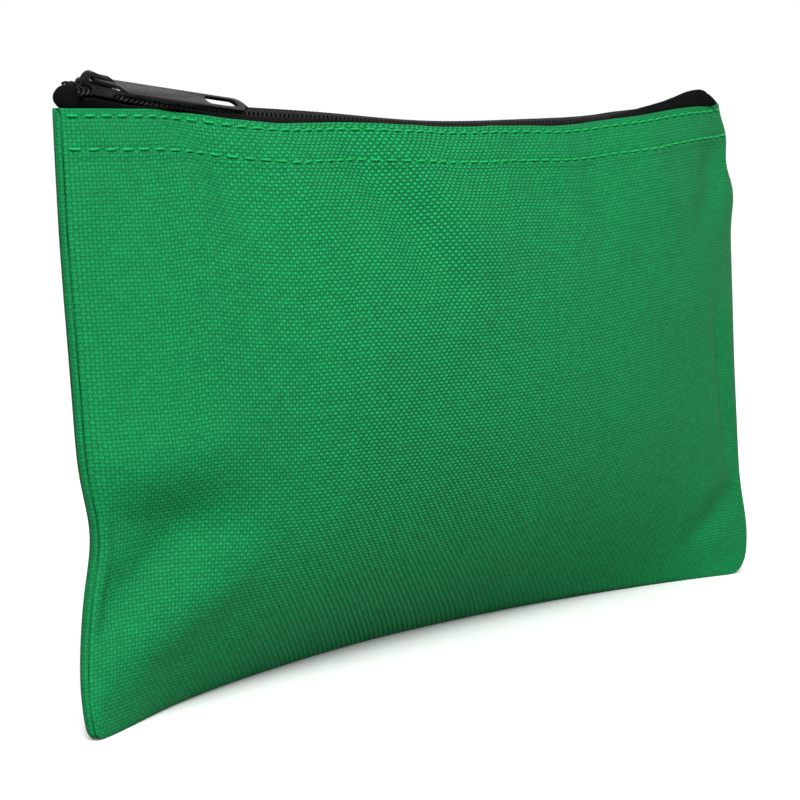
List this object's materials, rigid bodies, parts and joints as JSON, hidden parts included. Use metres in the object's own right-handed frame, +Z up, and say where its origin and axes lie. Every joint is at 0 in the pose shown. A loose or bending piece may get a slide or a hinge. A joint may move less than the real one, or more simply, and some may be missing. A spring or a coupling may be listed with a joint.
{
  "type": "cash deposit bag",
  "caption": "Flat zipped pouch of coarse woven cloth with a stitched hem, a coil zipper along the top and a long slotted pull, filled and standing on its base.",
  "frame": {"origin": "the middle of the base, where the bag rests on a table", "axes": "+X along the width towards the zipper's open end, -Y to the front, +Z up"},
  "size_m": [0.2839, 0.0385, 0.1615],
  "materials": {
    "cloth": "coarse plain weave, satin synthetic yarn, green",
    "thread": "twisted sewing thread, bright green",
    "tape": "fine woven zipper tape, black",
    "coil": "nylon coil, black, slightly glossy",
    "slider": "die-cast zinc with a semi-gloss black coat"
  },
  "bodies": {
    "bag": {"back_panel": "cloth", "base_fold": "cloth", "left_side_seam": "cloth", "right_side_seam": "cloth", "left_seam_thread": "thread", "right_seam_thread": "thread", "rear_tape": "tape", "rear_coil": "coil", "left_zipper_end": "tape", "right_zipper_end": "tape", "rear_edge_stitch": "thread", "rear_hem_stitch": "thread"},
    "front_wall": {"front_panel": "cloth", "front_tape": "tape", "front_coil": "coil", "front_edge_stitch": "thread", "front_hem_stitch": "thread"},
    "slider": {"slider_body": "slider", "slider_crown": "slider"},
    "pull": {"pull_tab": "slider"}
  },
  "joints": [
    {"name": "slider_travel", "type": "hinge", "parent": "bag", "child": "slider", "pos_m": [0, 0.00163, 0.9585], "axis": [0, -1, 0], "range_deg": [0, 17.8]},
    {"name": "mouth_open", "type": "hinge", "parent": "bag", "child": "front_wall", "pos_m": [0, 0.00163, 0.006], "axis": [1, 0, 0], "range_deg": [0, 8], "deforming": ["front_tape", "front_coil"]},
    {"name": "pull_hinge", "type": "hinge", "parent": "slider", "child": "pull", "pos_m": [-0.12947, 0.00058, 0.15915], "axis": [-0.0741, -0.8829, -0.4636], "range_deg": [0, 178]}
  ],
  "couplings": [
    {"joint": "mouth_open", "follows": "slider_travel", "ratio": 0.44943}
  ]
}
